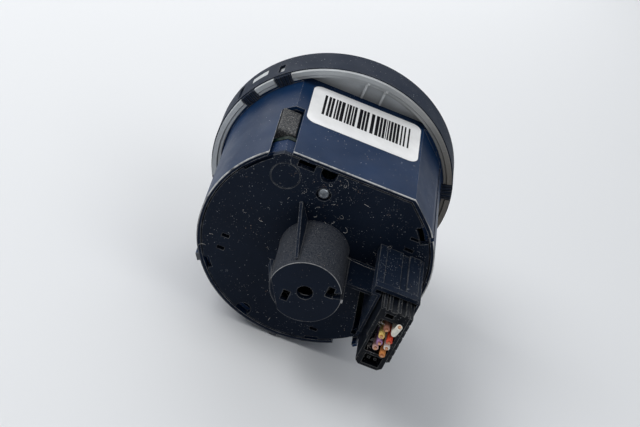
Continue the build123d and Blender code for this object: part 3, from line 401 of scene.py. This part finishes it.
looks = {
    "housing": plastic(
        "housing_plastic", (0.0056, 0.0222, 0.0640), rough=0.38, grain=0.05, grain_scale=2600.0,
        dust=0.3, specular=0.06, edge=0.8, marks_and_painted_light=housing_marks_and_highlight, marks_and_painted_light_colour=(0.62, 0.62, 0.61),
        # The wall's rear end painted darker: painted shade
        zone=housing_end_painted_shade, zone_colour=(0.0040, 0.0090, 0.0220),
    ),
    "cover": plastic(
        "cover_plastic", (0.0044, 0.0088, 0.0190), rough=0.50, grain=0.08, grain_scale=2200.0,
        dust=0.9, gathered=cover_gathered, specular=0.08, edge=0.45,
        # The skirt painted lighter and bluer: painted light
        marks_and_painted_light=cover_marks_and_highlight, marks_and_painted_light_colour=(0.34, 0.34, 0.34), zone=cover_skirt_painted_light, zone_colour=(0.0070, 0.0230, 0.0680),
    ),
    "bezel": plastic(
        "bezel_plastic", (0.0050, 0.0112, 0.0255), rough=0.60, grain=0.25, grain_scale=1900.0,
        dust=0.35, specular=0.10, edge=0.25,
    ),
    "carrier": plastic(
        "carrier_plastic", (0.52, 0.545, 0.56), rough=0.50, grain=0.05, grain_scale=1500.0,
        # The light rim: brown dirt, and painted shade along the flat's front end
        dust=0.7, dust_colour=(0.14, 0.11, 0.08), marks_and_painted_light=rim_dirt_and_painted_shade, marks_and_painted_light_colour=(0.17, 0.155, 0.135),
        # The two ribs beside the flat painted paler than the floor round them
        zone=carrier_ribs, zone_colour=(0.80, 0.82, 0.83),
    ),
    "dial": plastic("dial_plastic", (0.012, 0.012, 0.014), rough=0.55, grain=0.2, grain_scale=3000.0),
    "knob": plastic(
        "knob_plastic", (0.014, 0.014, 0.016), rough=0.48, grain=0.25, grain_scale=2600.0, dust=0.2
    ),
    "tongue": plastic(
        "tongue_plastic", (0.035, 0.037, 0.040), rough=0.72, grain=0.8, grain_scale=1300.0,
        dust=0.8, specular=0.2, speckle=0.55,
    ),
    "plug": plastic(
        "plug_plastic", (0.0028, 0.0042, 0.0072), rough=0.36, grain=0.06, grain_scale=2400.0,
        dust=1.0, specular=0.10, edge=0.42,
    ),
    "plug_lock": plastic(
        "plug_lock_plastic", (0.0040, 0.0060, 0.0095), rough=0.42, grain=0.1, grain_scale=2400.0,
        dust=1.0, specular=0.12, edge=0.42,
    ),
    "natural": plastic("natural_plastic", (0.70, 0.68, 0.60), rough=0.4, grain=0.05),
    "white": plastic("pointer_white", (0.80, 0.80, 0.79), rough=0.45, grain=0.05),
    "label": plastic(
        "label_white", (0.88, 0.88, 0.87), rough=0.42, grain=0.04, grain_scale=1800.0,
        dust=0.08, dust_colour=(0.5, 0.47, 0.42),
    ),
    "print": plastic("label_print", (0.004, 0.004, 0.006), rough=0.5, grain=0.05, specular=0.08),
    "board": plastic(
        "board_green", (0.0015, 0.0100, 0.0070), rough=0.40, grain=0.2, grain_scale=900.0, specular=0.08
    ),
    "lamp": plastic("lamp_white", (0.75, 0.72, 0.62), rough=0.3, grain=0.05),
    "fibre": plastic("fibre_pale", (0.50, 0.48, 0.45), rough=0.8, grain=0.05),
    "rivet": metal("rivet_steel", (0.52, 0.56, 0.60), rough=0.26, stain=0.1),
    "steel": metal("spring_steel", (0.30, 0.31, 0.32), rough=0.34),
    "contact": metal("tinned_contact", (0.72, 0.60, 0.38), rough=0.32),
    "copper": metal("copper_strands", (0.78, 0.42, 0.25), rough=0.35, stain=0.5),
    "chrome": metal("ring_chrome", (0.78, 0.79, 0.81), rough=0.12, stain=0.1),
    "clear": clear("clear_plastic"),
}
nodes_by_look = {
    "housing": ["housing"],
    "cover": ["rear_cover"],
    "bezel": ["bezel_ring"],
    "carrier": ["light_carrier"],
    "dial": ["dial_face"],
    "knob": ["contact_carrier", "shaft", "knob_cap", "fog_slider"],
    "tongue": ["lock_tongue"],
    "plug": ["plug_body"],
    "plug_lock": ["plug_lock"],
    "natural": ["detent_rotor"],
    "white": ["knob_pointer"],
    "label": ["label"],
    "board": ["lamp_board", "contact_board"],
    "lamp": ["lamps"],
    "rivet": ["cover_rivet"],
    "steel": ["detent_spring", "return_spring", "lock_spring"],
    "contact": [
        "board_links", "contact_tracks", "connector_blades", "fog_contacts", "contact_bridges",
        "plug_terminals",
    ],
    "copper": ["wire_cores"],
    "chrome": ["knob_ring"],
    "clear": ["light_pipes"],
}
wire_colours = {
    "wire_brown": (0.30, 0.135, 0.095),
    "wire_ivory": (0.70, 0.68, 0.60),
    "wire_yellow": (0.74, 0.54, 0.17),
    "wire_red": (0.66, 0.075, 0.035),
    "wire_violet": (0.40, 0.22, 0.44),
    "wire_white": (0.80, 0.78, 0.73),
    "wire_pink": (0.66, 0.42, 0.37),
    "wire_orange": (0.66, 0.26, 0.08),
}
for name, colour in wire_colours.items():
    looks[name] = plastic(
        name + "_skin", colour, rough=0.48, grain=0.05, grain_scale=1500.0,
        dust=1.6, dust_colour=(0.10, 0.07, 0.05),
    )
    nodes_by_look[name] = [name]


def dress(piece, look):
    piece.data.materials.clear()
    piece.data.materials.append(looks[look])


for look, names in nodes_by_look.items():
    for name in names:
        dress(nodes[name], look)

# Soft moulded edges on the pieces that show
edge_rounds = {
    "housing": 0.00022, "rear_cover": 0.00018, "bezel_ring": 0.0002, "light_carrier": 0.00015,
    "plug_body": 0.00014, "plug_lock": 0.0001, "knob_cap": 0.0003, "lock_tongue": 0.0002,
}
for name, width in edge_rounds.items():
    bevel = nodes[name].modifiers.new("edge", "BEVEL")
    bevel.width = width
    bevel.segments = 2
    bevel.limit_method = "ANGLE"
    bevel.angle_limit = math.radians(40)
    bevel.use_clamp_overlap = True
    bevel.harden_normals = False


def new_mesh(name, shape, look, body="case"):
    """Object from a filled bmesh, dressed and riding on a body."""
    mesh = bpy.data.meshes.new(name)
    shape.to_mesh(mesh)
    shape.free()
    piece = bpy.data.objects.new(name, mesh)
    scene.collection.objects.link(piece)
    dress(piece, look)
    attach(piece, body)


def coil_between(name):
    """A copy of the spring in its place, standing in for the part, which is hidden."""
    mesh = nodes[name].data.copy()
    mesh.transform(nodes[name].matrix_world)
    coil = bpy.data.objects.new(name + "_coil", mesh)
    scene.collection.objects.link(coil)
    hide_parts(name)
    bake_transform(coil)


coil_between("return_spring")
coil_between("lock_spring")

draw = random.Random(11)


def add_box(shape, low, high):
    made = bmesh.ops.create_cube(shape, size=1.0)
    for corner in made["verts"]:
        corner.co = Vector(low[i] + (corner.co[i] + 0.5) * (high[i] - low[i]) for i in range(3))


# Bars printed on the label, of plain uneven widths, counted in modules
label_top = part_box("label")[1].z
print_height = 0.00002
bar_left, bar_right = -0.0127, 0.0162
bar_front, bar_rear = 0.0026, 0.0145
module = 0.00027
bar_modules = (1, 2, 2, 3, 3, 4)
gap_modules = (1, 1, 1, 1, 2, 3)
bars = bmesh.new()
u = bar_left
while u < bar_right - 3 * module:
    width = module * draw.choice(bar_modules)
    add_box(bars, (-u - width, bar_front, label_top), (-u, bar_rear, label_top + print_height))
    u += width + module * draw.choice(gap_modules)
new_mesh("label_bars", bars, "print")

fibres = bmesh.new()


def add_fibre(points, thickness):
    """Three-sided strand along the points, with its ridge to the rear."""
    ridge = 1.6
    ring_before = None
    for count, point in enumerate(points):
        ahead = points[min(count + 1, len(points) - 1)] - points[max(count - 1, 0)]
        out = ahead.cross(Vector((0, 1, 0))).normalized() * thickness
        rise = out.cross(ahead).normalized() * thickness
        rise *= 1 if rise.y > 0 else -1
        offsets = (out, -out, rise * ridge)
        ring = [fibres.verts.new(point + offset) for offset in offsets]
        if ring_before:
            for k in range(3):
                following = (k + 1) % 3
                fibres.faces.new((ring_before[k], ring_before[following], ring[following], ring[k]))
        ring_before = ring


# Curled fibres of dust behind the cover's plate, level with the ends of the housing's wall tabs
plate_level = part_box("housing")[1].y
fibre_count = 26
fibre_lift = 0.00001
fibre_stride = 0.00030
fibre_ring = (0.013, 0.0335)
fibre_ceiling = 0.0275
for count in range(fibre_count):
    spot = draw.uniform(*fibre_ring)
    angle = math.radians(draw.choice((draw.uniform(30.0, 130.0), draw.uniform(60.0, 290.0))))
    height = min(spot * math.sin(angle), fibre_ceiling)
    place = Vector((-spot * math.cos(angle), plate_level + fibre_lift, height))
    heading = draw.uniform(0.0, 2 * math.pi)
    bend = draw.uniform(-0.45, 0.45)
    steps = draw.choice((4, 5, 6, 8, 11))
    points = []
    for step in range(steps):
        points.append(place.copy())
        place += fibre_stride * Vector((math.cos(heading), 0, math.sin(heading)))
        bend += draw.uniform(-0.22, 0.22)
        heading += bend
    add_fibre(points, draw.uniform(0.000018, 0.000034))

# Fluff caught in two tufts between the cut wires and the wall of the plug's chamber
chamber_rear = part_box("plug_body")[1].y
fluff_count = 26
fluff_stride = 0.00022
fluff_wall = -0.0223
fluff_spread = 0.0010
fluff_depth = (0.0004, 0.0013)
upper_tuft = (0.0018, 0.0046)
lower_tuft = (-0.0064, -0.0030)
for count in range(fluff_count):
    height = draw.choice((draw.uniform(*upper_tuft), draw.uniform(*lower_tuft)))
    across = fluff_wall - draw.uniform(0.0, fluff_spread)
    place = Vector((across, chamber_rear - draw.uniform(*fluff_depth), height))
    heading = draw.uniform(0.0, 2 * math.pi)
    bend = draw.uniform(-0.9, 0.9)
    points = []
    for step in range(draw.choice((4, 5, 7))):
        points.append(place.copy())
        place += fluff_stride * Vector((math.cos(heading), 0.4 * math.sin(2 * heading), math.sin(heading)))
        heading += bend
    add_fibre(points, draw.uniform(0.000030, 0.000044))

# A hair that sags from the boss to the connector
hair_start = Vector((-0.0086, 0.0464, 0.0063))
hair_sag = Vector((-0.0128, 0.0440, 0.0035))
hair_end = Vector((-0.0173, 0.0506, 0.0086))
hair_steps = 14
hair_thickness = 0.000016
hair = []
for step in range(hair_steps + 1):
    t = step / hair_steps
    hair.append(hair_start * (1 - t) ** 2 + hair_sag * 2 * t * (1 - t) + hair_end * t ** 2)
add_fibre(hair, hair_thickness)
new_mesh("dust_fibres", fibres, "fibre")

# The floor
side = Vector((0, 1, 0)).cross(floor_up).normalized() * floor_half_width
ahead = floor_up.cross(side).normalized() * floor_half_length
middle = -floor_up * floor_drop
floor_mesh = bmesh.new()
corners = (middle + side * a + ahead * b for a, b in ((-1, -1), (1, -1), (1, 1), (-1, 1)))
floor_mesh.faces.new([floor_mesh.verts.new(corner) for corner in corners])
mesh = bpy.data.meshes.new("floor")
floor_mesh.to_mesh(mesh)
floor_mesh.free()
floor = bpy.data.objects.new("floor", mesh)
scene.collection.objects.link(floor)
floor_look, tree, shader = new_look("floor_pale")
shader.inputs["Base Color"].default_value = (*floor_tone, 1.0)
shader.inputs["Roughness"].default_value = 0.9
mesh.materials.append(floor_look)

# The world gives one light and shows the camera, reflections and clear pieces a plainer, brighter one
world = bpy.data.worlds.new("studio")
scene.world = world
world.use_nodes = True
tree = world.node_tree
given = tree.nodes["Background"]
given.inputs["Color"].default_value = (*world_light, 1.0)
given.inputs["Strength"].default_value = world_strength
seen = tree.nodes.new("ShaderNodeBackground")
seen.inputs["Color"].default_value = (*world_seen, 1.0)
seen.inputs["Strength"].default_value = 1.0
rays = tree.nodes.new("ShaderNodeLightPath").outputs
straight = calc(tree, "MAXIMUM", rays["Is Camera Ray"], rays["Is Glossy Ray"])
straight = calc(tree, "MAXIMUM", straight, rays["Is Transmission Ray"])
choice = tree.nodes.new("ShaderNodeMixShader")
tree.links.new(straight, choice.inputs[0])
tree.links.new(given.outputs[0], choice.inputs[1])
tree.links.new(seen.outputs[0], choice.inputs[2])
tree.links.new(choice.outputs[0], tree.nodes["World Output"].inputs["Surface"])


def lamp(name, place, size, power):
    """Round white lamp aimed at the switch: its size across, and its power in watts."""
    data = bpy.data.lights.new(name, "AREA")
    data.shape = "DISK"
    data.size = size
    data.energy = power
    made = bpy.data.objects.new(name, data)
    scene.collection.objects.link(made)
    made.location = place
    made.rotation_euler = (lamps_aim - place).to_track_quat("-Z", "Y").to_euler()


lamp("key", lamps_up * 0.75 - camera_right * 0.35 + camera_back * 0.10, size=0.55, power=4.5)
lamp("fill", lamps_up * 0.30 + camera_right * 0.65 + camera_back * 0.55, size=0.6, power=1.5)
lamp("back", lamps_up * 0.55 - camera_back * 0.6, size=0.7, power=1.9)

scene.view_settings.view_transform = "Standard"
